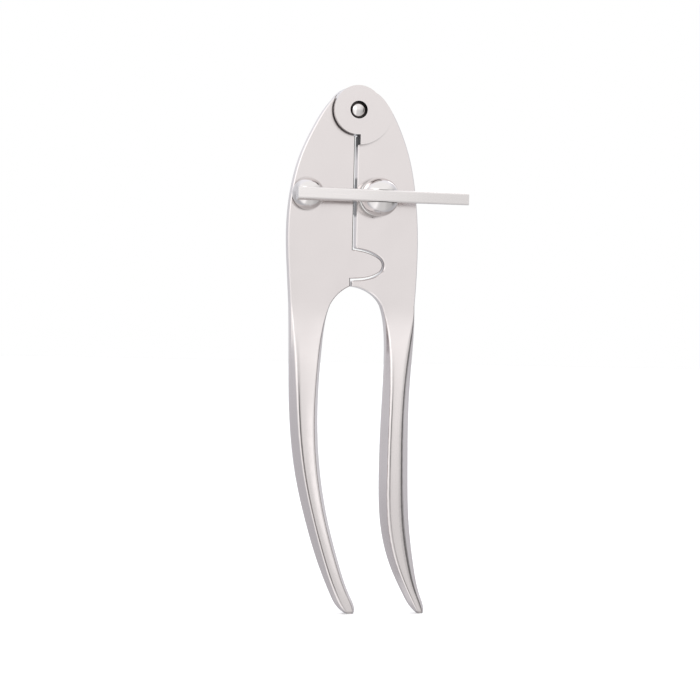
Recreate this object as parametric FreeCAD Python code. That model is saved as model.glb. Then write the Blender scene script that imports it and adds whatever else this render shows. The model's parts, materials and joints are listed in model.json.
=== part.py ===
import FreeCAD, Part
import math
import os

# Lever corkscrew of the pincer kind: two flat steel levers hinged on a hub at the top,
# a T-shaped turning bar on a ball, and a worm that points out of the back.
# Millimetres. The origin is on the hinge axis, half way through the thickness.
# +X is the right lever, +Z is up, and the front faces -Y.

V = FreeCAD.Vector
BACK = V(0, 1, 0)
UP = V(0, 0, 1)

# ---- driving dimensions ------------------------------------------------------------------
PLATE_HALF = 2.5            # half the thickness of each lever's plate
EDGE_BREAK = 0.35           # chamfer round the plates' faces
HANDLE_ROOT_Z = -74.0       # where the flat plate turns into the shaped handle
TIP_Z = -192.2              # lowest point of both handles

HUB_R = 9.4                 # round hinge lugs
HUB_RECESS_R = 9.8          # pocket in the other lever that clears a lug
HUB_HALF = 6.0              # half the thickness over both lugs
HUB_SPLIT = 0.25            # each lug stops this far from the middle plane
PAD_R = 13.2                # raised round pad on a lug's own lever
FRONT_PAD_INSET = 1.2       # how far each pad's side stays inside its plate's outline
REAR_PAD_INSET = 2.2

PIVOT_R = 2.5               # hinge pin
PIVOT_PIN_END_Y = 4.3
PIVOT_THREAD_R = 1.25
PIVOT_TAP_DEPTH = 4.5
PIVOT_BUSH_R = 3.6
PIVOT_HEAD_R = 2.75
PIVOT_HEAD_POCKET_R = 3.4
PIVOT_HEAD_POCKET_DEPTH = 3.0
PIVOT_SCREW_HEAD_R = 4.2
PIVOT_SCREW_HEAD_HEIGHT = 1.5
PIVOT_SCREW_POCKET_R = 4.5
PIVOT_SCREW_POCKET_DEPTH = 1.8
PIVOT_DOME_CROWN_Y = -6.3   # the pin's head stands this far forward
PIVOT_DOME_RISE = 1.2
HUB_WASHER_R = 5.1
WASHER_GAP = 0.05           # a thin washer is this much thinner than the space it lies in
RUNNING_CLEARANCE = 0.04    # radial, between a turning pin and its hole

OPEN_ANGLE = 28.0           # how far the levers swing apart, degrees
STOP_PIN_R = 0.9
STOP_RING_R = 6.4           # radius on which the stop pin sits
STOP_START_ANGLE = 60.0     # direction of the stop pin from +X, degrees
STOP_SLOT_DEPTH = 2.4
STOP_SLOT_CLEARANCE = 0.25
STOP_PIN_SEAT = 3.0         # depth of the stop pin's hole in the right lug
STOP_PIN_END_GAP = 0.3

GAP_LEFT_X = -0.45          # the two facing edges of the levers
GAP_RIGHT_X = 0.85
SEAM_LEFT_X = -1.2          # the same edges below the tongue
SEAM_RIGHT_X = -0.4
TONGUE_CLEARANCE = 0.75
NOTCH_MOUTH_R = 1.0         # rounding of the notch's upper and lower corners
NOTCH_LIP_R = 0.8

DRIVE_X = 8.3               # axis of the turning bar and the worm
DRIVE_Z = -33.05
BALL_R = 7.4
BALL_CENTRE_Y = -8.3
BALL_REAR_Y = -5.2          # the ball is cut flat here
STUD_R = 2.0                # threaded front end of the spindle, inside the ball and the bar
STUD_FRONT_Y = -14.0        # the stud ends inside the bar
GRUB_R = 1.0
GRUB_Y = -7.6
GRUB_SOCKET_R = 0.45
GRUB_SOCKET_DEPTH = 1.0
GRUB_SINK = 0.4             # the grub screw's end lies this far inside the ball's surface
SPINDLE_R = 3.0
BARREL_R = 5.5
BARREL_FLANGE_R = 7.0
BARREL_FLANGE_FRONT_Y = -4.9
BARREL_REAR_Y = 9.0
COLLAR_R = 7.5
COLLAR_LIP_R = 5.1          # bore of the collar behind the sleeve
COLLAR_FRONT_Y = PLATE_HALF + 0.8
COLLAR_REAR_Y = 15.0
SPANNER_HOLES = 4           # blind holes in the collar's rear face
SPANNER_HOLE_R = 0.5
SPANNER_HOLE_RING_R = 6.0
SPANNER_HOLE_DEPTH = 1.5
THRUST_WASHER_R = 5.0
LOCK_WASHER_R = 7.2
LOCK_WASHER_SPLIT = 0.6
CLIP_R = 4.4
CLIP_GROOVE_R = 2.4
CLIP_THICKNESS = 0.8
CLIP_Y = BARREL_REAR_Y + 0.15
CLIP_MOUTH = 2.6
CUP_R = 4.8
CUP_FRONT_Y = 10.6

BAR_HALF_LENGTH = 33.2
BAR_HEIGHT = 4.5
BAR_DEPTH = 4.3
BAR_FRONT_Y = -15.5
BAR_TWIST_LEFT = -6.0       # lean of the bar's front face, degrees, negative is upwards
BAR_TWIST_RIGHT = 3.0
BAR_CORNER = 0.6
BAR_SECTIONS = 12           # steps of the loft along the bar
BAR_SLOT_CLEARANCE = 0.12   # above and below the bar in the ball's slot

WORM_MEAN_R = 3.3
WORM_WIRE_R = 1.25
WORM_PITCH = 8.5
WORM_TURNS = 4.5
WORM_POINT_TURNS = 1.0      # the wire thins to a point over these last turns
WORM_ROOT_Y = 19.0          # rear face of the cup that holds the worm
WORM_START_Y = 15.5
WORM_TIP_R = 0.25

REST_X = -18.8              # rest ball on the left lever
REST_Z = -32.5
REST_R = 6.1
REST_CENTRE_Y = -4.7
REST_FLAT_Y = -3.0          # the rest ball is cut flat here and stands on its seat
REST_SEAT_R = 4.6
REST_SCREW_R = 1.5
REST_SCREW_HEAD_R = 2.8
REST_SCREW_POCKET_R = 3.0
REST_SCREW_HEAD_HEIGHT = 1.3
REST_SCREW_POCKET_DEPTH = 1.6

# Outer edges of the plates, from the hub's shoulders to the handles' roots.
LEFT_OUTLINE = [(-6.9, 6.38), (-11.0, 1.9), (-16.6, -7.5), (-20.9, -17.0), (-24.3, -30.0),
                (-25.6, -42.0), (-25.4, -56.0), (-24.2, HANDLE_ROOT_Z)]
RIGHT_OUTLINE = [(5.6, 7.54), (9.4, 5.7), (13.0, 1.6), (17.8, -7.5), (21.2, -17.0),
                 (23.8, -30.0), (25.2, -47.0), (24.5, HANDLE_ROOT_Z)]

# Arch between the handles, from the seam outwards and down.
ARCH_LEFT = [(SEAM_LEFT_X, -67.1), (-5.0, -69.5), (-8.6, HANDLE_ROOT_Z)]
ARCH_RIGHT = [(SEAM_RIGHT_X, -67.1), (4.3, -68.1), (8.3, -70.3), (11.4, HANDLE_ROOT_Z)]

# Tongue of the left lever, from its upper root round the nose to its lower root.
TONGUE = [(GAP_LEFT_X, -53.1), (4.6, -53.9), (8.8, -55.5), (10.9, -57.2), (11.4, -58.9),
          (10.9, -60.6), (8.8, -62.3), (4.6, -63.7), (SEAM_LEFT_X, -64.2)]

# Handle sections: height, left edge, right edge, half depth, width of the left and right
# slopes, half thickness of the side edge, hollow of the front and back faces.
LEFT_HANDLE = [
    (HANDLE_ROOT_Z, -24.2, -8.6, PLATE_HALF, EDGE_BREAK, EDGE_BREAK, PLATE_HALF - EDGE_BREAK, 0.0),
    (-82.0, -24.0, -10.7, 2.9, 0.9, 0.7, 2.0, 0.1),
    (-92.0, -23.9, -11.6, 4.0, 1.7, 1.5, 1.5, 0.35),
    (-106.0, -23.7, -12.3, 5.4, 2.2, 2.1, 1.0, 0.6),
    (-122.0, -22.8, -12.3, 6.0, 2.3, 2.4, 0.8, 0.7),
    (-140.0, -20.3, -10.7, 6.0, 2.3, 2.4, 0.8, 0.7),
    (-158.0, -15.8, -7.2, 5.4, 2.2, 2.2, 0.8, 0.6),
    (-174.0, -10.5, -2.6, 4.3, 2.0, 1.9, 0.8, 0.5),
    (-185.0, -5.8, 1.5, 3.2, 1.8, 1.6, 0.8, 0.35),
    (-190.2, -2.5, 3.6, 2.5, 1.5, 1.3, 0.7, 0.2),
    (TIP_Z, 0.4, 3.1, 1.3, 0.6, 0.6, 0.6, 0.05),
]
RIGHT_HANDLE = [
    (HANDLE_ROOT_Z, 11.4, 24.5, PLATE_HALF, EDGE_BREAK, EDGE_BREAK, PLATE_HALF - EDGE_BREAK, 0.0),
    (-82.0, 13.2, 24.6, 2.9, 0.7, 0.9, 2.0, 0.0),
    (-92.0, 13.6, 24.3, 4.0, 1.5, 2.2, 1.5, 0.15),
    (-106.0, 13.2, 23.6, 5.4, 2.1, 3.2, 1.0, 0.35),
    (-122.0, 12.6, 23.4, 6.0, 2.3, 3.8, 0.8, 0.4),
    (-140.0, 12.4, 23.7, 6.0, 2.3, 4.0, 0.8, 0.4),
    (-158.0, 13.4, 24.6, 5.4, 2.3, 4.0, 0.8, 0.35),
    (-174.0, 17.6, 26.8, 4.3, 2.2, 3.4, 0.8, 0.3),
    (-185.0, 22.9, 29.4, 3.2, 2.0, 2.4, 0.8, 0.2),
    (-190.2, 26.3, 31.0, 2.4, 1.4, 1.5, 0.7, 0.1),
    (TIP_Z, 28.6, 30.7, 1.2, 0.5, 0.5, 0.6, 0.05),
]
HOLLOW_PLACE = 0.22         # the hollow is deepest this far across, next to the left ridge
CORNER_SHARE = 0.3          # a corner is rounded over this share of its slope
RIDGE_SHARE = 0.45          # the same for the ridge on the left of each handle's face
RIDGE_ROOM = 0.9            # the ridge's rounding takes at most this share of the way to the hollow
LEFT_CREST_SHARE = 0.3      # the same for the ridge on the right of each handle's face
RIGHT_CREST_SHARE = 0.55
CORNER_MOST = 0.9


# ---- helpers -----------------------------------------------------------------------------
def along_y(radius, y_from, y_to, x=0.0, z=0.0):
    """A cylinder parallel to the hinge axis."""
    return Part.makeCylinder(radius, y_to - y_from, V(x, y_from, z), BACK)


def ring_along_y(outer, inner, y_from, y_to, x=0.0, z=0.0):
    return along_y(outer, y_from, y_to, x, z).cut(along_y(inner, y_from - 1, y_to + 1, x, z))


def along_z(radius, z_from, z_to, x, y):
    return Part.makeCylinder(radius, z_to - z_from, V(x, y, z_from), UP)


def curve_through(points):
    """A smooth edge in the plate's middle plane through (x, z) points."""
    spline = Part.BSplineCurve()
    spline.interpolate([V(x, 0, z) for x, z in points])
    return spline.toShape()


def straight(start, end):
    return Part.makeLine(V(start[0], 0, start[1]), V(end[0], 0, end[1]))


def thicken(edges, y_from, y_to):
    """A flat solid from a closed chain of edges drawn in the middle plane."""
    face = Part.Face(Part.Wire(Part.__sortEdges__(edges)))
    face.translate(V(0, y_from, 0))
    return face.extrude(V(0, y_to - y_from, 0))


def broken_edges(plate):
    """Chamfer a plate's rims, front and back, but not where the hub and the handle join it."""
    picked = []
    for edge in plate.Edges:
        box = edge.BoundBox
        in_a_face = box.YLength < 1e-6 and abs(abs(box.YMin) - PLATE_HALF) < 1e-6
        at_the_hub = box.ZMin > -1
        at_the_handle = box.ZMax < HANDLE_ROOT_Z + 1e-3
        if in_a_face and not at_the_hub and not at_the_handle:
            picked.append(edge)
    return plate.makeChamfer(EDGE_BREAK, picked)


# ---- levers ------------------------------------------------------------------------------
def notch():
    """Cutter for the right lever's notch: the tongue's outline moved outwards by its clearance."""
    outline = Part.BSplineCurve()
    outline.interpolate([V(x, 0, z) for x, z in TONGUE])
    moved = []
    for x, z in TONGUE:
        along = outline.tangent(outline.parameter(V(x, 0, z)))[0]
        moved.append((x - along.z * TONGUE_CLEARANCE, z + along.x * TONGUE_CLEARANCE))
    edges = [curve_through(moved), straight(moved[-1], moved[0])]
    return thicken(edges, -PLATE_HALF - 1, PLATE_HALF + 1)


def round_corner(plate, radius, x_from, x_to, z_from, z_to):
    """Round the plate's corners that stand inside the given window."""
    picked = []
    for edge in plate.Edges:
        box = edge.BoundBox
        upright = box.YLength > 2 * PLATE_HALF - 1e-6 and box.XLength < 1e-6
        if upright and x_from < box.XMin < x_to and z_from < box.ZMin < z_to:
            picked.append(edge)
    return plate.makeFillet(radius, picked)


def handle_section(station, crest_share):
    """Closed ten-sided section with rounded corners and hollow front and back faces."""
    z, left, right, half_depth, left_slope, right_slope, edge_half, hollow = station
    left_ridge = left + left_slope
    right_ridge = right - right_slope
    to_deepest = HOLLOW_PLACE * (right_ridge - left_ridge)
    deepest = left_ridge + to_deepest
    floor = half_depth - 2 * hollow
    soft = min(CORNER_MOST, CORNER_SHARE * left_slope, CORNER_SHARE * right_slope, 0.8 * edge_half)
    ridge = min(RIDGE_SHARE * left_slope, RIDGE_ROOM * to_deepest)
    crest = crest_share * right_slope
    corners = [
        (left_ridge, -half_depth, ridge), (deepest, -floor, 0), (right_ridge, -half_depth, crest),
        (right, -edge_half, soft), (right, edge_half, soft), (right_ridge, half_depth, crest),
        (deepest, floor, 0), (left_ridge, half_depth, ridge), (left, edge_half, soft),
        (left, -edge_half, soft),
    ]
    count = len(corners)
    before = []
    after = []
    for i, (x, y, rounding) in enumerate(corners):
        here = V(x, y, z)
        back = V(corners[i - 1][0], corners[i - 1][1], z)
        ahead = V(corners[(i + 1) % count][0], corners[(i + 1) % count][1], z)
        before.append(here + (back - here).normalize() * rounding)
        after.append(here + (ahead - here).normalize() * rounding)
    edges = []
    for i, (x, y, rounding) in enumerate(corners):
        following = (i + 1) % count
        bend = Part.BezierCurve()
        if rounding:
            bend.setPoles([before[i], V(x, y, z), after[i]])
            edges.append(bend.toShape())
            if corners[following][2]:
                edges.append(Part.makeLine(after[i], before[following]))
        else:
            bend.setPoles([after[i - 1], V(x, y, z), before[following]])
            edges.append(bend.toShape())
    return Part.Wire(edges)


def handle(stations, crest_share):
    return Part.makeLoft([handle_section(station, crest_share) for station in stations], True, False)


def left_plate():
    edges = [
        straight((0, 0), LEFT_OUTLINE[0]),
        curve_through(LEFT_OUTLINE),
        straight(LEFT_OUTLINE[-1], ARCH_LEFT[-1]),
        curve_through(ARCH_LEFT),
        straight(ARCH_LEFT[0], TONGUE[-1]),
        curve_through(TONGUE),
        straight(TONGUE[0], (GAP_LEFT_X, 0)),
        straight((GAP_LEFT_X, 0), (0, 0)),
    ]
    return thicken(edges, -PLATE_HALF, PLATE_HALF)


def right_plate():
    edges = [
        straight((0, 0), RIGHT_OUTLINE[0]),
        curve_through(RIGHT_OUTLINE),
        straight(RIGHT_OUTLINE[-1], ARCH_RIGHT[-1]),
        curve_through(ARCH_RIGHT),
        straight(ARCH_RIGHT[0], (SEAM_RIGHT_X, -62.0)),
        straight((SEAM_RIGHT_X, -62.0), (GAP_RIGHT_X, -62.0)),
        straight((GAP_RIGHT_X, -62.0), (GAP_RIGHT_X, 0)),
        straight((GAP_RIGHT_X, 0), (0, 0)),
    ]
    plate = thicken(edges, -PLATE_HALF, PLATE_HALF).cut(notch())
    plate = round_corner(plate, NOTCH_MOUTH_R, 0, 2, -54, -51)
    return round_corner(plate, NOTCH_LIP_R, -1, 1, -66, -64)


def raised_pad(outline, edge_x, inset, y_from, y_to):
    """The part of a pad's disc that lies on its own lever, a little inside the lever's outline."""
    inwards = -inset if outline[0][0] > 0 else inset
    side = [(x + inwards, z) for x, z in outline]
    edges = [
        straight((0, 0), side[0]),
        curve_through(side),
        straight(side[-1], (edge_x, HANDLE_ROOT_Z)),
        straight((edge_x, HANDLE_ROOT_Z), (edge_x, 0)),
        straight((edge_x, 0), (0, 0)),
    ]
    return thicken(edges, y_from, y_to).common(along_y(PAD_R, y_from, y_to))


def stop_slot():
    """Arc slot in the left lug that the stop pin runs in."""
    slot_r = STOP_PIN_R + STOP_SLOT_CLEARANCE
    y_from = HUB_SPLIT
    y_to = HUB_SPLIT + STOP_SLOT_DEPTH
    ring = ring_along_y(STOP_RING_R + slot_r, STOP_RING_R - slot_r, y_from, y_to)
    reach = 2 * HUB_R
    # As the lever opens, its slot turns clockwise, so the slot lies anticlockwise of the pin.
    first = math.radians(STOP_START_ANGLE)
    last = math.radians(STOP_START_ANGLE + OPEN_ANGLE)
    wedge = Part.makePolygon([V(0, y_from, 0),
                              V(reach * math.cos(first), y_from, reach * math.sin(first)),
                              V(reach * math.cos(last), y_from, reach * math.sin(last)),
                              V(0, y_from, 0)])
    slot = ring.common(Part.Face(wedge).extrude(V(0, y_to - y_from, 0)))
    for angle in (first, last):
        slot = slot.fuse(along_y(slot_r, y_from, y_to, STOP_RING_R * math.cos(angle),
                                 STOP_RING_R * math.sin(angle)))
    return slot


def stop_pin_place():
    angle = math.radians(STOP_START_ANGLE)
    return STOP_RING_R * math.cos(angle), STOP_RING_R * math.sin(angle)


def right_half():
    plate = broken_edges(right_plate())
    plate = plate.cut(along_y(HUB_RECESS_R, -HUB_SPLIT, HUB_HALF))
    pad = raised_pad(RIGHT_OUTLINE, GAP_RIGHT_X, FRONT_PAD_INSET, -HUB_HALF, -PLATE_HALF + EDGE_BREAK)
    plate = plate.fuse([pad, along_y(HUB_R, -HUB_HALF, -HUB_SPLIT)])
    plate = plate.cut(along_y(PIVOT_R, -HUB_HALF - 1, HUB_HALF))
    pocket_floor = -HUB_HALF + PIVOT_HEAD_POCKET_DEPTH
    plate = plate.cut(along_y(PIVOT_HEAD_POCKET_R, -HUB_HALF - 1, pocket_floor))
    x, z = stop_pin_place()
    plate = plate.cut(along_y(STOP_PIN_R, -HUB_SPLIT - STOP_PIN_SEAT, 0, x, z))
    plate = plate.cut(along_y(BARREL_R, -PLATE_HALF - 1, PLATE_HALF + 1, DRIVE_X, DRIVE_Z))
    return plate.fuse(handle(RIGHT_HANDLE, RIGHT_CREST_SHARE)).removeSplitter()


def left_half():
    plate = broken_edges(left_plate())
    plate = plate.cut(along_y(HUB_RECESS_R, -HUB_HALF, HUB_SPLIT))
    pad = raised_pad(LEFT_OUTLINE, GAP_LEFT_X, REAR_PAD_INSET, PLATE_HALF - EDGE_BREAK, HUB_HALF)
    plate = plate.fuse([pad, along_y(HUB_R, HUB_SPLIT, HUB_HALF)])
    plate = plate.cut(along_y(PIVOT_BUSH_R, -HUB_HALF, HUB_HALF + 1))
    pocket_floor = HUB_HALF - PIVOT_SCREW_POCKET_DEPTH
    plate = plate.cut(along_y(PIVOT_SCREW_POCKET_R, pocket_floor, HUB_HALF + 1))
    plate = plate.cut(stop_slot())
    plate = plate.cut(along_y(REST_SCREW_R, -PLATE_HALF - 1, PLATE_HALF + 1, REST_X, REST_Z))
    pocket_floor = PLATE_HALF - REST_SCREW_POCKET_DEPTH
    plate = plate.cut(along_y(REST_SCREW_POCKET_R, pocket_floor, PLATE_HALF + 1, REST_X, REST_Z))
    return plate.fuse(handle(LEFT_HANDLE, LEFT_CREST_SHARE)).removeSplitter()


# ---- hinge -------------------------------------------------------------------------------
def pivot_pin():
    """Pin with a domed head in the front pocket, tapped from the rear for its screw."""
    pocket_floor = -HUB_HALF + PIVOT_HEAD_POCKET_DEPTH
    dome_r = (PIVOT_HEAD_R ** 2 + PIVOT_DOME_RISE ** 2) / (2 * PIVOT_DOME_RISE)
    head = along_y(PIVOT_HEAD_R, PIVOT_DOME_CROWN_Y, pocket_floor)
    head = head.common(Part.makeSphere(dome_r, V(0, PIVOT_DOME_CROWN_Y + dome_r, 0)))
    shank = along_y(PIVOT_R, pocket_floor - 0.5, PIVOT_PIN_END_Y)
    tapped_hole = along_y(PIVOT_THREAD_R, PIVOT_PIN_END_Y - PIVOT_TAP_DEPTH, PIVOT_PIN_END_Y + 1)
    return head.fuse(shank).cut(tapped_hole).removeSplitter()


def hexagon_socket(radius, y_from, y_to, x, z):
    corners = []
    for i in range(7):
        angle = math.radians(60 * i)
        corners.append(V(x + radius * math.cos(angle), y_from, z + radius * math.sin(angle)))
    return Part.Face(Part.makePolygon(corners)).extrude(V(0, y_to - y_from, 0))


def cap_screw(head_r, head_height, thread_r, thread_length, y_seat, x, z):
    """Low cap screw put in from the rear: its head sits on y_seat and its thread points forwards."""
    head = along_y(head_r, y_seat, y_seat + head_height, x, z)
    rim = [e for e in head.Edges if abs(e.BoundBox.YMin - y_seat - head_height) < 1e-6]
    head = head.makeChamfer(0.25, rim)
    thread = along_y(thread_r, y_seat - thread_length, y_seat + 0.1, x, z)
    socket = hexagon_socket(0.45 * head_r, y_seat + 0.35 * head_height, y_seat + head_height + 1, x, z)
    return head.fuse(thread).cut(socket).removeSplitter()


def pivot_screw():
    return cap_screw(PIVOT_SCREW_HEAD_R, PIVOT_SCREW_HEAD_HEIGHT, PIVOT_THREAD_R, 4.0,
                     PIVOT_PIN_END_Y, 0.0, 0.0)


def pivot_bush():
    pocket_floor = HUB_HALF - PIVOT_SCREW_POCKET_DEPTH
    return ring_along_y(PIVOT_BUSH_R, PIVOT_R + RUNNING_CLEARANCE, HUB_SPLIT, pocket_floor)


def hub_washer():
    return ring_along_y(HUB_WASHER_R, PIVOT_R + WASHER_GAP, -HUB_SPLIT, HUB_SPLIT - WASHER_GAP)


def stop_pin():
    x, z = stop_pin_place()
    end_y = HUB_SPLIT + STOP_SLOT_DEPTH - STOP_PIN_END_GAP
    return along_y(STOP_PIN_R, -HUB_SPLIT - STOP_PIN_SEAT, end_y, x, z)


# ---- turning drive -----------------------------------------------------------------------
def drive_ring(outer, inner, y_from, y_to):
    return ring_along_y(outer, inner, y_from, y_to, DRIVE_X, DRIVE_Z)


def drive_rod(radius, y_from, y_to):
    return along_y(radius, y_from, y_to, DRIVE_X, DRIVE_Z)


def chamfer_end(solid, y_face, size):
    """Chamfer every edge of a turned piece that lies in the plane at y_face."""
    rims = [e for e in solid.Edges
            if abs(e.BoundBox.YMin - y_face) < 1e-6 and abs(e.BoundBox.YMax - y_face) < 1e-6]
    return solid.makeChamfer(size, rims)


def worm_barrel():
    """Flanged sleeve through the right plate that the spindle turns in."""
    flange = drive_rod(BARREL_FLANGE_R, BARREL_FLANGE_FRONT_Y, -PLATE_HALF)
    flange = chamfer_end(flange, BARREL_FLANGE_FRONT_Y, 0.6)
    sleeve = drive_rod(BARREL_R, -PLATE_HALF, BARREL_REAR_Y)
    bore = drive_rod(SPINDLE_R + RUNNING_CLEARANCE, BARREL_FLANGE_FRONT_Y - 1, BARREL_REAR_Y + 1)
    return flange.fuse(sleeve).cut(bore).removeSplitter()


def lock_washer():
    """Split washer under the collar."""
    washer = drive_ring(LOCK_WASHER_R, BARREL_R, PLATE_HALF, COLLAR_FRONT_Y)
    split = Part.makeBox(LOCK_WASHER_R + 1, 2, LOCK_WASHER_SPLIT,
                         V(DRIVE_X, PLATE_HALF - 0.5, DRIVE_Z - LOCK_WASHER_SPLIT / 2))
    return washer.cut(split)


def barrel_collar():
    """Round nut on the sleeve. Behind the sleeve a narrower lip surrounds the root of the worm."""
    collar = chamfer_end(drive_rod(COLLAR_R, COLLAR_FRONT_Y, COLLAR_REAR_Y), COLLAR_REAR_Y, 0.7)
    collar = collar.cut(drive_rod(BARREL_R, COLLAR_FRONT_Y - 1, BARREL_REAR_Y))
    collar = collar.cut(drive_rod(COLLAR_LIP_R, BARREL_REAR_Y - 1, COLLAR_REAR_Y + 1))
    for i in range(SPANNER_HOLES):
        angle = 2 * math.pi * i / SPANNER_HOLES
        x = DRIVE_X + SPANNER_HOLE_RING_R * math.cos(angle)
        z = DRIVE_Z + SPANNER_HOLE_RING_R * math.sin(angle)
        hole = along_y(SPANNER_HOLE_R, COLLAR_REAR_Y - SPANNER_HOLE_DEPTH, COLLAR_REAR_Y + 1, x, z)
        collar = collar.cut(hole)
    return collar


def thrust_washer():
    return drive_ring(THRUST_WASHER_R, SPINDLE_R, BALL_REAR_Y, BARREL_FLANGE_FRONT_Y - WASHER_GAP)


def bar_section(x, lean):
    """Rounded rectangle across the bar at x, turned by lean degrees about the bar's axis."""
    half_y = BAR_DEPTH / 2
    half_z = BAR_HEIGHT / 2
    corners = [(-half_y, -half_z), (half_y, -half_z), (half_y, half_z), (-half_y, half_z)]
    points = []
    for i, (y, z) in enumerate(corners):
        here = V(x, y, z)
        back = V(x, *corners[i - 1])
        ahead = V(x, *corners[(i + 1) % 4])
        points.append(here + (back - here).normalize() * BAR_CORNER)
        points.append(here)
        points.append(here + (ahead - here).normalize() * BAR_CORNER)
    edges = []
    for i in range(4):
        bend = Part.BezierCurve()
        bend.setPoles(points[3 * i:3 * i + 3])
        edges.append(bend.toShape())
        edges.append(Part.makeLine(points[3 * i + 2], points[(3 * i + 3) % 12]))
    section = Part.Wire(edges)
    section.rotate(V(x, 0, 0), V(1, 0, 0), lean)
    section.translate(V(0, BAR_FRONT_Y + BAR_DEPTH / 2, DRIVE_Z))
    return section


def cross_bar_blank():
    """Bar whose front face leans a little upwards on the left and downwards on the right."""
    sections = []
    for i in range(BAR_SECTIONS + 1):
        share = i / BAR_SECTIONS
        smooth = share * share * (3 - 2 * share)
        lean = BAR_TWIST_LEFT + (BAR_TWIST_RIGHT - BAR_TWIST_LEFT) * smooth
        x = DRIVE_X + BAR_HALF_LENGTH * (2 * share - 1)
        sections.append(bar_section(x, lean))
    return Part.makeLoft(sections, True, False)


def spindle_stud():
    return drive_rod(STUD_R, STUD_FRONT_Y, BALL_REAR_Y + 0.1)


def cross_bar():
    return cross_bar_blank().cut(spindle_stud())


def ball_hub():
    """Ball with a flat rear, a slot that holds the bar, and a hole for the spindle's stud."""
    ball = Part.makeSphere(BALL_R, V(DRIVE_X, BALL_CENTRE_Y, DRIVE_Z))
    ball = ball.common(drive_rod(BALL_R + 1, BALL_CENTRE_Y - BALL_R, BALL_REAR_Y))
    bar_rear_y = BAR_FRONT_Y + BAR_DEPTH
    slot_half = BAR_HEIGHT / 2 + BAR_SLOT_CLEARANCE
    slot = Part.makeBox(4 * BALL_R, 10, 2 * slot_half,
                        V(DRIVE_X - 2 * BALL_R, bar_rear_y + 0.15 - 10, DRIVE_Z - slot_half))
    grub = along_z(GRUB_R, DRIVE_Z - BALL_R, DRIVE_Z, DRIVE_X, GRUB_Y)
    return ball.cut(slot).cut(spindle_stud()).cut(grub)


def hub_grub_screw():
    """Small set screw under the ball that locks it on the spindle's stud."""
    lowest = DRIVE_Z - math.sqrt(BALL_R ** 2 - (GRUB_Y - BALL_CENTRE_Y) ** 2) + GRUB_SINK
    grub = along_z(GRUB_R, lowest, DRIVE_Z - STUD_R, DRIVE_X, GRUB_Y)
    socket = along_z(GRUB_SOCKET_R, lowest - 0.1, lowest + GRUB_SOCKET_DEPTH, DRIVE_X, GRUB_Y)
    return grub.cut(socket)


def worm_spindle():
    """Shaft with a stud at the front, a clip groove, and a cup at the rear for the worm."""
    shaft = drive_rod(SPINDLE_R, BALL_REAR_Y, WORM_ROOT_Y - 4.0)
    groove = drive_ring(SPINDLE_R + 1, CLIP_GROOVE_R, CLIP_Y, CLIP_Y + CLIP_THICKNESS)
    cup = drive_rod(CUP_R, CUP_FRONT_Y, WORM_ROOT_Y)
    cup = chamfer_end(cup, WORM_ROOT_Y, 0.2)
    return shaft.fuse([spindle_stud(), cup]).cut(groove).removeSplitter()


def spindle_clip():
    """Open retaining ring in the spindle's groove, behind the sleeve."""
    clip = drive_ring(CLIP_R, CLIP_GROOVE_R, CLIP_Y, CLIP_Y + CLIP_THICKNESS)
    mouth = Part.makeBox(CLIP_MOUTH, 2, CLIP_R + 1, V(DRIVE_X - CLIP_MOUTH / 2, CLIP_Y - 0.5, DRIVE_Z))
    return clip.cut(mouth)


# ---- worm --------------------------------------------------------------------------------
def wire_section(turns):
    """Round section of the worm's wire after a number of turns, square to the helix."""
    angle = 2 * math.pi * turns
    rise = WORM_PITCH / (2 * math.pi)
    turns_left = WORM_TURNS - turns
    radius = WORM_TIP_R + (WORM_WIRE_R - WORM_TIP_R) * min(1.0, turns_left / WORM_POINT_TURNS)
    centre = V(WORM_MEAN_R * math.cos(angle), WORM_MEAN_R * math.sin(angle), rise * angle)
    tangent = V(-WORM_MEAN_R * math.sin(angle), WORM_MEAN_R * math.cos(angle), rise)
    return Part.Wire(Part.makeCircle(radius, centre, tangent))


def worm():
    """Open right-hand helix of round wire that thins to a point over its last turn."""
    per_turn = 12
    per_piece = per_turn // 2
    steps = int(WORM_TURNS * per_turn)
    sections = [wire_section(i / per_turn) for i in range(steps + 1)]
    half_turns = []
    for first in range(0, steps, per_piece):
        half_turns.append(Part.makeLoft(sections[first:first + per_piece + 1], True, False))
    helix = half_turns[0].fuse(half_turns[1:])
    helix.rotate(V(0, 0, 0), V(1, 0, 0), -90)
    helix.translate(V(DRIVE_X, WORM_START_Y, DRIVE_Z))
    return helix


# ---- rest ball ---------------------------------------------------------------------------
def rest_ball():
    ball = Part.makeSphere(REST_R, V(REST_X, REST_CENTRE_Y, REST_Z))
    front = along_y(REST_R + 1, REST_CENTRE_Y - REST_R, REST_FLAT_Y, REST_X, REST_Z)
    tapped_hole = along_y(REST_SCREW_R, REST_CENTRE_Y - 3.0, REST_FLAT_Y + 1, REST_X, REST_Z)
    return ball.common(front).cut(tapped_hole)


def rest_ball_seat():
    return ring_along_y(REST_SEAT_R, REST_SCREW_R, REST_FLAT_Y, -PLATE_HALF, REST_X, REST_Z)


def rest_ball_screw():
    seat_y = PLATE_HALF - REST_SCREW_POCKET_DEPTH
    thread_length = seat_y - REST_CENTRE_Y + 2.5
    return cap_screw(REST_SCREW_HEAD_R, REST_SCREW_HEAD_HEIGHT, REST_SCREW_R, thread_length,
                     seat_y, REST_X, REST_Z)


# ---- export ------------------------------------------------------------------------------
def drive_parts():
    screw = worm()
    return {"worm": screw, "worm_spindle": worm_spindle().cut(screw)}


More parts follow.
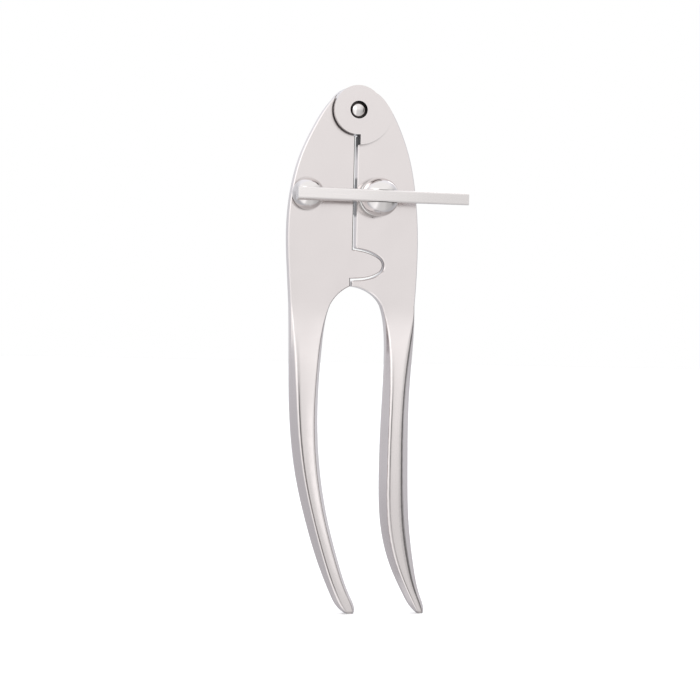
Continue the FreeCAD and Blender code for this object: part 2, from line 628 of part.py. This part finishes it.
def build():
    parts = {
        "right_half": right_half(),
        "left_half": left_half(),
        "pivot_pin": pivot_pin(),
        "pivot_screw": pivot_screw(),
        "pivot_bush": pivot_bush(),
        "hub_washer": hub_washer(),
        "stop_pin": stop_pin(),
        "worm_barrel": worm_barrel(),
        "lock_washer": lock_washer(),
        "barrel_collar": barrel_collar(),
        "thrust_washer": thrust_washer(),
        "ball_hub": ball_hub(),
        "cross_bar": cross_bar(),
        "hub_grub_screw": hub_grub_screw(),
        "spindle_clip": spindle_clip(),
        "rest_ball": rest_ball(),
        "rest_ball_seat": rest_ball_seat(),
        "rest_ball_screw": rest_ball_screw(),
    }
    parts.update(drive_parts())
    return parts


os.makedirs("parts", exist_ok=True)
for name, shape in build().items():
    box = shape.BoundBox
    print(f"{name:16s} solids {len(shape.Solids)} valid {shape.isValid()} volume {shape.Volume:9.1f} "
          f"x {box.XMin:7.2f} {box.XMax:7.2f} y {box.YMin:7.2f} {box.YMax:7.2f} "
          f"z {box.ZMin:8.2f} {box.ZMax:7.2f}")
    shape.exportStep(f"parts/{name}.step")
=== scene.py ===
"""Looks, light and camera for a steel lever corkscrew with a bar across two half balls.

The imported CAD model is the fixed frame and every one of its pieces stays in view. This script
gives each material slot a procedural finish, sets the object on a pale floor and lights it.
Lengths are in metres. The hinge axis runs along Y through the origin, Z is up, the front is -Y.
"""

import json
import math

import bpy
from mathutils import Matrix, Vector

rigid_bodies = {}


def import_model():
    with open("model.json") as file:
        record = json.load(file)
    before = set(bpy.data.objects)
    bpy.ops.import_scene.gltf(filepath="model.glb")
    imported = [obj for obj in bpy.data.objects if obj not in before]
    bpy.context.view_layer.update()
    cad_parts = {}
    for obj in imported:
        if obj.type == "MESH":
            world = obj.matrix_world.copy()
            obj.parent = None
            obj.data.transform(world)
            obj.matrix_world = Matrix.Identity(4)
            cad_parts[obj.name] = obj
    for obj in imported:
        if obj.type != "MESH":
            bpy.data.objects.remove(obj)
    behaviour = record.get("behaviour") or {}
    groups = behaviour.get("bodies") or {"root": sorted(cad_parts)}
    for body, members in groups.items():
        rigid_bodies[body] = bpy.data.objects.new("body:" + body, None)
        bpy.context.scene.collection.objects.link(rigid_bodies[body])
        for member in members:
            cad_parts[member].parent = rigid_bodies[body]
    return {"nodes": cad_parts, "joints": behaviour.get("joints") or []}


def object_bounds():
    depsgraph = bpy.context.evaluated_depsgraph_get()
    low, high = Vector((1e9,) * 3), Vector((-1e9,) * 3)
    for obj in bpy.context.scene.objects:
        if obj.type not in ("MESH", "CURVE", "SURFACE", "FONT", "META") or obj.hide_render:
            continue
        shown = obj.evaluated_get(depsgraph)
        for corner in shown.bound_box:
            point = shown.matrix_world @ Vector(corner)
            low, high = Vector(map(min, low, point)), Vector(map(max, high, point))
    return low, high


MM = 0.001

# The camera stands a little to the left of the front, level with the middle of the levers.
CAMERA_AZIMUTH = -13.6
CAMERA_ELEVATION = -0.05
CAMERA_ROLL = 1.24
CAMERA_DISTANCE = 874.6 * MM
CAMERA_TARGET = Vector((-0.14, 0.0, -89.12)) * MM
CAMERA_LENS = 117.6
CAMERA_SHIFT_Y = -0.0086

NARROW_GAP = 1.15 * MM      # gaps narrower than this get painted shade inside
SCREW_GAP = 0.8 * MM        # the same for the screws
SMALL_GAP = 0.6 * MM        # and for the small washers and the clip

# Places on the levers where shade is painted into the colour.
HUB_FRONT = 6.0 * MM        # distance of the hub's front face from the middle plane
POCKET_R = 3.6 * MM         # the pin's pocket in the hub lies inside this radius
SEAM_HALF = 1.4 * MM        # the levers' facing edges lie this near the middle
UNDER_HUB_DARK = -13.0 * MM     # the facing edges get painted shade under the hub down to here
UNDER_HUB_UNSHADED = -19.0 * MM    # and are free of painted shade from here down
COLLAR_DARK = 6.8 * MM      # they get painted shade again this near the drive's axis, beside the collar
COLLAR_UNSHADED = 7.8 * MM
STEP_REACH = 1.2 * MM       # the painted shade beside a raised step reaches this far

FLOOR_HALF = 12.0
FLOOR_COLOR = (0.93, 0.93, 0.93)

# Brightness of the front half of the room by how far a direction points to the right
# (-1 is due left, 1 due right).
SIDE_TONES = (
    (-1.00, 1.32),
    (-0.42, 1.80),
    (-0.24, 1.25),
    (-0.08, 1.11),
    (0.34, 1.11),
    (0.54, 0.92),
    (0.82, 0.82),
    (0.93, 0.20),
    (1.00, 0.18),
)
BEHIND_TONE = 0.80          # all over the half of the room behind the object
BEHIND_TINT = (0.975, 0.980, 1.025, 1.0)
DOWNWARD_SHARE = 0.85       # the room darkens a little downwards and brightens upwards
UPWARD_SHARE = 1.20
OVERHEAD_TONE = 1.35        # fades in between these two heights of a direction
OVERHEAD_FROM = 0.50
OVERHEAD_FULL = 0.80
WHITE = (1.0, 1.0, 1.0, 1.0)


def box_rows(corners):
    """A box's two corners as plain lists of numbers."""
    return [[float(value) for value in corner] for corner in corners]


# ---------------------------------------------------------------- node helpers


class Tree:
    """A short way to add nodes to one material or world and to join them."""

    def __init__(self, node_tree):
        self.nodes = node_tree.nodes
        self.links = node_tree.links
        self.nodes.clear()

    def add(self, kind, **settings):
        node = self.nodes.new(kind)
        for name, value in settings.items():
            setattr(node, name, value)
        return node

    def join(self, source, target):
        self.links.new(source, target)

    def feed(self, node, inputs):
        """Sets or links a node's inputs, given as {name or index: socket or value}."""
        for key, value in inputs.items():
            if isinstance(value, bpy.types.NodeSocket):
                self.join(value, node.inputs[key])
            else:
                node.inputs[key].default_value = value
        return node

    def math(self, operation, first, second=0.0):
        node = self.add("ShaderNodeMath", operation=operation)
        return self.feed(node, {0: first, 1: second}).outputs[0]

    def map_range(self, value, low, high, to_low, to_high):
        """Maps low..high to to_low..to_high and holds the ends."""
        node = self.add("ShaderNodeMapRange", clamp=True)
        row = {"Value": value, "From Min": low, "From Max": high, "To Min": to_low, "To Max": to_high}
        return self.feed(node, row).outputs[0]

    def blend(self, factor, first, second):
        """first where the factor is 0, second where it is 1."""
        node = self.add("ShaderNodeMix", data_type="FLOAT")
        return self.feed(node, {0: factor, 2: first, 3: second}).outputs[0]

    def mix_color(self, factor, first, second):
        node = self.add("ShaderNodeMix", data_type="RGBA")
        row = {"Factor": factor, 6: first, 7: second}
        return self.feed(node, row).outputs[2]

    def noise(self, vector, scale, detail=2.0, roughness=0.5):
        node = self.add("ShaderNodeTexNoise")
        row = {"Vector": vector, "Scale": scale, "Detail": detail, "Roughness": roughness}
        return self.feed(node, row).outputs["Fac"]

    def ramp(self, value, stops):
        """A colour ramp of grey stops, given as (place, grey)."""
        node = self.add("ShaderNodeValToRGB")
        elements = node.color_ramp.elements
        while len(elements) < len(stops):
            elements.new(0.5)
        for element, (place, grey) in zip(elements, stops):
            element.position = place
            element.color = (grey, grey, grey, 1.0)
        self.join(value, node.inputs[0])
        return node.outputs[0]


def place_in_object(tree):
    """The point being shaded, in the object's own frame."""
    return tree.add("ShaderNodeTexCoord").outputs["Object"]


def stretched(tree, scale, turn=(0.0, 0.0, 0.0)):
    """Object coordinates turned and then scaled, so that a noise runs in long lines."""
    turned = tree.add("ShaderNodeMapping", vector_type="TEXTURE")
    tree.feed(turned, {"Vector": place_in_object(tree), "Rotation": turn})
    scaled = tree.add("ShaderNodeMapping")
    tree.feed(scaled, {"Vector": turned.outputs[0], "Scale": scale})
    return scaled.outputs[0]


def edge_mask(tree, radius):
    """1 along sharp or tightly rounded edges and 0 on open faces."""
    bevel = tree.feed(tree.add("ShaderNodeBevel", samples=6), {"Radius": radius})
    true_normal = tree.add("ShaderNodeNewGeometry").outputs["Normal"]
    dot = tree.add("ShaderNodeVectorMath", operation="DOT_PRODUCT")
    tree.feed(dot, {0: bevel.outputs[0], 1: true_normal})
    return tree.map_range(dot.outputs["Value"], 0.80, 0.985, 1.0, 0.0)


def painted_joint_shade(tree, distance):
    """Mask of painted shade: 1 deep in a joint between pieces and 0 in the open."""
    node = tree.add("ShaderNodeAmbientOcclusion", samples=8)
    tree.feed(node, {"Distance": distance})
    return tree.map_range(node.outputs["AO"], 0.02, 0.28, 1.0, 0.0)


def painted_gap_shade(tree):
    """Mask of painted shade: 1 in the pin's pocket and on two stretches of the levers' facing edges.

    The edges are found by the surface's direction in the room, so theirs fades as a lever swings.
    """
    split = tree.add("ShaderNodeSeparateXYZ")
    tree.join(place_in_object(tree), split.inputs[0])
    flat = tree.feed(tree.add("ShaderNodeCombineXYZ"), {"X": split.outputs["X"], "Y": split.outputs["Z"]})
    from_hinge = tree.feed(tree.add("ShaderNodeVectorMath", operation="LENGTH"), {0: flat.outputs[0]})
    sunk = tree.map_range(split.outputs["Y"], -HUB_FRONT + 0.05 * MM, -HUB_FRONT + 0.6 * MM, 0.0, 1.0)
    pocket = tree.math("MULTIPLY", tree.math("LESS_THAN", from_hinge.outputs["Value"], POCKET_R), sunk)
    facing = tree.add("ShaderNodeSeparateXYZ")
    tree.join(tree.add("ShaderNodeNewGeometry").outputs["Normal"], facing.inputs[0])
    sideways = tree.math("ABSOLUTE", facing.outputs["X"])
    between = tree.math("LESS_THAN", tree.math("ABSOLUTE", split.outputs["X"]), SEAM_HALF)
    seam = tree.math("MULTIPLY", tree.map_range(sideways, 0.9, 0.98, 0.0, 1.0), between)
    under_hub = tree.map_range(split.outputs["Z"], UNDER_HUB_UNSHADED, UNDER_HUB_DARK, 0.0, 1.0)
    from_drive = tree.math("ABSOLUTE", tree.math("SUBTRACT", split.outputs["Z"], drive_axis().z))
    at_drive = tree.map_range(from_drive, COLLAR_DARK, COLLAR_UNSHADED, 1.0, 0.0)
    # painted shade along the facing edges, under the hub and beside the collar
    painted_seam_shade = tree.math("MULTIPLY", seam, tree.math("MAXIMUM", under_hub, at_drive))
    return tree.math("MAXIMUM", pocket, painted_seam_shade)


def painted_step_shade(tree):
    """A faint painted shade on a face where another piece or a step rises from it."""
    node = tree.add("ShaderNodeAmbientOcclusion", samples=8)
    tree.feed(node, {"Distance": STEP_REACH})
    return tree.map_range(node.outputs["AO"], 0.55, 0.95, 0.36, 0.0)


# ---------------------------------------------------------------- finishes


def metal(name, finish):
    """A metal material. finish(tree) gives its colour, roughness and bump, and its steady values."""
    material = bpy.data.materials.new("look_" + name)
    material.use_nodes = True
    tree = Tree(material.node_tree)
    shader = tree.add("ShaderNodeBsdfPrincipled")
    output = tree.add("ShaderNodeOutputMaterial")
    tree.join(shader.outputs[0], output.inputs[0])
    inputs = {"Metallic": 1.0}
    inputs.update(finish(tree))
    tree.feed(shader, inputs)
    return material


def bump(tree, height, distance, strength=1.0):
    node = tree.add("ShaderNodeBump")
    tree.feed(node, {"Height": height, "Distance": distance, "Strength": strength})
    return node.outputs[0]


def worn_and_shaded_color(tree, body, worn, painted_shade_color, blotch, edge, crevice):
    """A metal's colour: cloudy over the face, brighter on worn edges and with painted shade in the joints.
    """
    clouded = tree.mix_color(blotch, body, tuple(0.94 * c for c in body[:3]) + (1.0,))
    on_edges = tree.mix_color(tree.math("MULTIPLY", edge, 0.6), clouded, worn)
    # painted shade: the colour goes dark where the crevice mask is high
    return tree.mix_color(tree.math("MULTIPLY", crevice, 0.96), on_edges, painted_shade_color)


def satin_steel(tree):
    """Stainless steel rubbed along the levers to a soft satin, with a few light scratches, and painted
    shade in its pockets and gaps.
    """
    grain = tree.noise(stretched(tree, (2600.0, 2600.0, 70.0)), 1.0, 3.0, 0.6)
    cloud = tree.noise(place_in_object(tree), 60.0, 3.0)
    cross = stretched(tree, (2200.0, 2200.0, 26.0), (0.0, math.radians(38.0), 0.0))
    scratch = tree.map_range(tree.noise(cross, 1.0, 1.0), 0.70, 0.76, 0.0, 1.0)
    edge = edge_mask(tree, 0.45 * MM)
    rough = tree.map_range(grain, 0.3, 0.7, 0.14, 0.20)
    rough = tree.math("ADD", rough, tree.map_range(cloud, 0.35, 0.65, -0.02, 0.04))
    rough = tree.math("SUBTRACT", rough, tree.math("MULTIPLY", edge, 0.10))
    height = tree.math("SUBTRACT", grain, tree.math("MULTIPLY", scratch, 0.8))
    return {
        "Base Color": worn_and_shaded_color(
            tree,
            (0.700, 0.656, 0.651, 1.0),
            (0.760, 0.735, 0.728, 1.0),
            # colour of the painted shade
            (0.022, 0.020, 0.019, 1.0),
            cloud,
            edge,
            # painted shade at the foot of steps, in the pin's pocket and on the levers' facing edges
            tree.math("MAXIMUM", painted_step_shade(tree), painted_gap_shade(tree)),
        ),
        "Roughness": rough,
        "Normal": bump(tree, height, 0.0006 * MM),
    }


def brushed_bar(tree):
    """Steel brushed along the cross bar."""
    grain = tree.noise(stretched(tree, (60.0, 3400.0, 3400.0)), 1.0, 3.0, 0.65)
    band = tree.noise(stretched(tree, (14.0, 700.0, 700.0)), 1.0, 2.0)
    edge = edge_mask(tree, 0.5 * MM)
    rough = tree.map_range(grain, 0.3, 0.7, 0.22, 0.36)
    return {
        "Base Color": worn_and_shaded_color(
            tree,
            (0.705, 0.675, 0.668, 1.0),
            (0.750, 0.735, 0.728, 1.0),
            # colour of the painted shade in the joints
            (0.030, 0.028, 0.027, 1.0),
            band,
            edge,
            painted_joint_shade(tree, NARROW_GAP),
        ),
        "Roughness": rough,
        "Normal": bump(tree, grain, 0.0025 * MM),
    }


def polished_chrome(tree):
    """Bright plate with faint finger marks."""
    smudge = tree.noise(place_in_object(tree), 340.0, 4.0, 0.6)
    fine = tree.noise(place_in_object(tree), 2400.0, 2.0)
    return {
        "Base Color": tree.mix_color(
            # painted shade: the colour darkens towards near black in the narrow joints
            tree.math("MULTIPLY", painted_joint_shade(tree, NARROW_GAP), 0.9),
            tree.mix_color(smudge, (0.650, 0.626, 0.620, 1.0), (0.615, 0.590, 0.584, 1.0)),
            (0.030, 0.028, 0.027, 1.0),
        ),
        "Roughness": tree.map_range(smudge, 0.40, 0.72, 0.045, 0.13),
        "Normal": bump(tree, fine, 0.0012 * MM),
    }


def drive_axis():
    """A point on the axis that the cross bar and the worm turn on."""
    return next(Vector(joint["pos_m"]) for joint in frame["joints"] if joint["name"] == "bar_turn")


def lathe_lines(tree, fine):
    """Noise that changes along the drive's axis and with the distance from it."""
    axis = drive_axis()
    split = tree.add("ShaderNodeSeparateXYZ")
    tree.join(place_in_object(tree), split.inputs[0])
    across = tree.math("SUBTRACT", split.outputs["X"], axis.x)
    upward = tree.math("SUBTRACT", split.outputs["Z"], axis.z)
    squares = tree.math("ADD", tree.math("MULTIPLY", across, across), tree.math("MULTIPLY", upward, upward))
    join = tree.add("ShaderNodeCombineXYZ")
    tree.feed(join, {"X": tree.math("SQRT", squares), "Y": split.outputs["Y"]})
    return tree.noise(join.outputs[0], fine, 3.0, 0.6)


def turned_steel(tree):
    """Steel as it leaves the lathe, with fine rings round its axis."""
    rings = lathe_lines(tree, 4200.0)
    cloud = tree.noise(place_in_object(tree), 90.0, 3.0)
    return {
        "Base Color": worn_and_shaded_color(
            tree,
            (0.640, 0.632, 0.622, 1.0),
            (0.840, 0.835, 0.828, 1.0),
            # colour of the painted shade in the joints
            (0.085, 0.080, 0.074, 1.0),
            cloud,
            edge_mask(tree, 0.3 * MM),
            painted_joint_shade(tree, NARROW_GAP),
        ),
        "Roughness": tree.map_range(rings, 0.3, 0.7, 0.20, 0.38),
        "Normal": bump(tree, rings, 0.010 * MM),
    }


def screw_steel(tree):
    """Plain machined screw steel, slightly darker than the levers."""
    grain = tree.noise(place_in_object(tree), 2600.0, 3.0, 0.6)
    cloud = tree.noise(place_in_object(tree), 420.0, 3.0)
    return {
        "Base Color": worn_and_shaded_color(
            tree,
            (0.500, 0.495, 0.490, 1.0),
            (0.760, 0.755, 0.750, 1.0),
            # colour of the painted shade in the joints
            (0.060, 0.058, 0.055, 1.0),
            cloud,
            edge_mask(tree, 0.25 * MM),
            painted_joint_shade(tree, SCREW_GAP),
        ),
        "Roughness": tree.map_range(cloud, 0.35, 0.65, 0.28, 0.42),
        "Normal": bump(tree, grain, 0.004 * MM),
    }


def spring_steel(tree):
    """Blued-grey spring steel with a light oil film."""
    cloud = tree.noise(place_in_object(tree), 500.0, 3.0)
    grain = tree.noise(place_in_object(tree), 3000.0, 2.0)
    return {
        "Base Color": worn_and_shaded_color(
            tree,
            (0.330, 0.340, 0.360, 1.0),
            (0.640, 0.640, 0.650, 1.0),
            # colour of the painted shade in the joints
            (0.050, 0.050, 0.052, 1.0),
            cloud,
            edge_mask(tree, 0.2 * MM),
            painted_joint_shade(tree, SMALL_GAP),
        ),
        "Roughness": tree.map_range(cloud, 0.35, 0.65, 0.22, 0.36),
        "Normal": bump(tree, grain, 0.003 * MM),
        "Coat Weight": 0.15,
        "Coat Roughness": 0.15,
    }


def bronze(tree):
    """Sintered bearing bronze, slightly mottled."""
    mottle = tree.noise(place_in_object(tree), 700.0, 4.0, 0.6)
    pores = tree.noise(place_in_object(tree), 4200.0, 2.0)
    return {
        "Base Color": worn_and_shaded_color(
            tree,
            (0.640, 0.430, 0.235, 1.0),
            (0.820, 0.610, 0.380, 1.0),
            # colour of the painted shade in the joints
            (0.110, 0.070, 0.040, 1.0),
            mottle,
            edge_mask(tree, 0.2 * MM),
            painted_joint_shade(tree, SMALL_GAP),
        ),
        "Roughness": tree.map_range(mottle, 0.3, 0.7, 0.30, 0.48),
        "Normal": bump(tree, pores, 0.006 * MM),
    }


def worm_steel(tree):
    """Drawn wire, plated bright, with fine rings across its run."""
    rings = lathe_lines(tree, 3600.0)
    smudge = tree.noise(place_in_object(tree), 260.0, 4.0, 0.6)
    return {
        "Base Color": tree.mix_color(
            smudge, (0.800, 0.800, 0.800, 1.0), (0.720, 0.715, 0.710, 1.0)
        ),
        "Roughness": tree.map_range(smudge, 0.38, 0.72, 0.10, 0.22),
        "Normal": bump(tree, rings, 0.002 * MM),
    }


FINISHES = {
    "satin_steel": satin_steel,
    "brushed_bar": brushed_bar,
    "polished_chrome": polished_chrome,
    "turned_steel": turned_steel,
    "screw_steel": screw_steel,
    "spring_steel": spring_steel,
    "bronze": bronze,
    "worm_steel": worm_steel,
}


def dress_nodes(nodes):
    """Gives every CAD node the finish that its material slot names."""
    looks = {name: metal(name, finish) for name, finish in FINISHES.items()}
    for node in nodes.values():
        for slot in node.material_slots:
            slot.material = looks[slot.material.name]


# ---------------------------------------------------------------- floor, light and camera


def pale_floor(height):
    """A wide, plain, nearly white floor that the tips stand on."""
    mesh = bpy.data.meshes.new("floor")
    corners = [(-1, -1), (1, -1), (1, 1), (-1, 1)]
    mesh.from_pydata([(x * FLOOR_HALF, y * FLOOR_HALF, height) for x, y in corners], [], [(0, 1, 2, 3)])
    floor = bpy.data.objects.new("floor", mesh)
    bpy.context.scene.collection.objects.link(floor)
    material = bpy.data.materials.new("look_floor")
    material.use_nodes = True
    shader = material.node_tree.nodes["Principled BSDF"]
    shader.inputs["Base Color"].default_value = FLOOR_COLOR + (1.0,)
    shader.inputs["Roughness"].default_value = 0.75
    shader.inputs["Specular IOR Level"].default_value = 0.2
    mesh.materials.append(material)
    floor.visible_glossy = False


def room_brightness(tree, direction):
    """Brightness of the room in a direction, and how far that direction is in its rear half."""
    sideways = tree.map_range(direction.outputs["X"], -1.0, 1.0, 0.0, 1.0)
    brightest = max(tone for _, tone in SIDE_TONES)
    stops = [((x + 1.0) / 2.0, tone / brightest) for x, tone in SIDE_TONES]
    front = tree.math("MULTIPLY", tree.ramp(sideways, stops), brightest)
    behind = tree.map_range(direction.outputs["Y"], -0.10, 0.25, 0.0, 1.0)
    side = tree.blend(behind, front, BEHIND_TONE)
    downward = tree.map_range(direction.outputs["Z"], -0.14, 0.0, DOWNWARD_SHARE, 1.0)
    upward = tree.map_range(direction.outputs["Z"], 0.10, 0.20, 1.0, UPWARD_SHARE)
    side = tree.math("MULTIPLY", side, tree.math("MULTIPLY", downward, upward))
    overhead = tree.map_range(direction.outputs["Z"], OVERHEAD_FROM, OVERHEAD_FULL, 0.0, 1.0)
    return tree.blend(overhead, side, OVERHEAD_TONE), behind


def studio_world():
    """White all round to the eye. What the steel reflects is the room, uneven as a real one is."""
    world = bpy.data.worlds.new("studio")
    world.use_nodes = True
    tree = Tree(world.node_tree)
    direction = tree.add("ShaderNodeSeparateXYZ")
    tree.join(tree.add("ShaderNodeTexCoord").outputs["Generated"], direction.inputs[0])
    brightness, behind = room_brightness(tree, direction)
    tint = tree.mix_color(behind, WHITE, BEHIND_TINT)
    lit = tree.feed(tree.add("ShaderNodeBackground"), {"Strength": brightness, "Color": tint})
    seen = tree.feed(tree.add("ShaderNodeBackground"), {"Strength": 1.0, "Color": WHITE})
    mixed = tree.add("ShaderNodeMixShader")
    direct = tree.add("ShaderNodeLightPath").outputs["Is Camera Ray"]
    tree.feed(mixed, {0: direct, 1: lit.outputs[0], 2: seen.outputs[0]})
    tree.join(mixed.outputs[0], tree.add("ShaderNodeOutputWorld").inputs[0])
    bpy.context.scene.world = world


def soft_box(name, place, target, size, power):
    """A square area light at place, facing target. The camera doesn't see it."""
    light = bpy.data.lights.new(name, "AREA")
    light.shape = "RECTANGLE"
    light.size, light.size_y = size
    light.energy = power
    box = bpy.data.objects.new(name, light)
    box.location = place
    box.rotation_euler = (Vector(target) - Vector(place)).to_track_quat("-Z", "Y").to_euler()
    box.visible_camera = False
    bpy.context.scene.collection.objects.link(box)


def studio_lights(middle):
    soft_box("key_light", (-0.50, -0.55, 0.42), middle, (0.45, 0.45), 0.8)
    soft_box("back_light", (0.35, 0.60, 0.40), middle, (0.50, 0.50), 1.2)


def add_camera():
    """A long lens at the viewing angle, turned a touch about its own axis."""
    azimuth, elevation = math.radians(CAMERA_AZIMUTH), math.radians(CAMERA_ELEVATION)
    level = math.cos(elevation)
    back = Vector((math.sin(azimuth) * level, -math.cos(azimuth) * level, math.sin(elevation)))
    data = bpy.data.cameras.new("camera")
    data.lens = CAMERA_LENS
    data.shift_y = CAMERA_SHIFT_Y
    camera = bpy.data.objects.new("camera", data)
    camera.location = CAMERA_TARGET + CAMERA_DISTANCE * back
    aim = (-back).to_track_quat("-Z", "Y").to_matrix()
    roll = math.radians(CAMERA_ROLL)
    right = aim @ Vector((math.cos(roll), math.sin(roll), 0.0))
    up = aim @ Vector((-math.sin(roll), math.cos(roll), 0.0))
    turned = aim.copy()
    turned.col[0], turned.col[1], turned.col[2] = right, up, back
    camera.rotation_euler = turned.to_euler()
    bpy.context.scene.collection.objects.link(camera)
    bpy.context.scene.camera = camera


# ---------------------------------------------------------------- build


for spare in list(bpy.data.objects):
    bpy.data.objects.remove(spare)

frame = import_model()
cad_box = box_rows(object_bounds())
low, high = (Vector(corner) for corner in cad_box)

bpy.context.scene.view_settings.view_transform = "Standard"
dress_nodes(frame["nodes"])
pale_floor(low.z)
studio_world()
studio_lights((low + high) / 2.0)
add_camera()
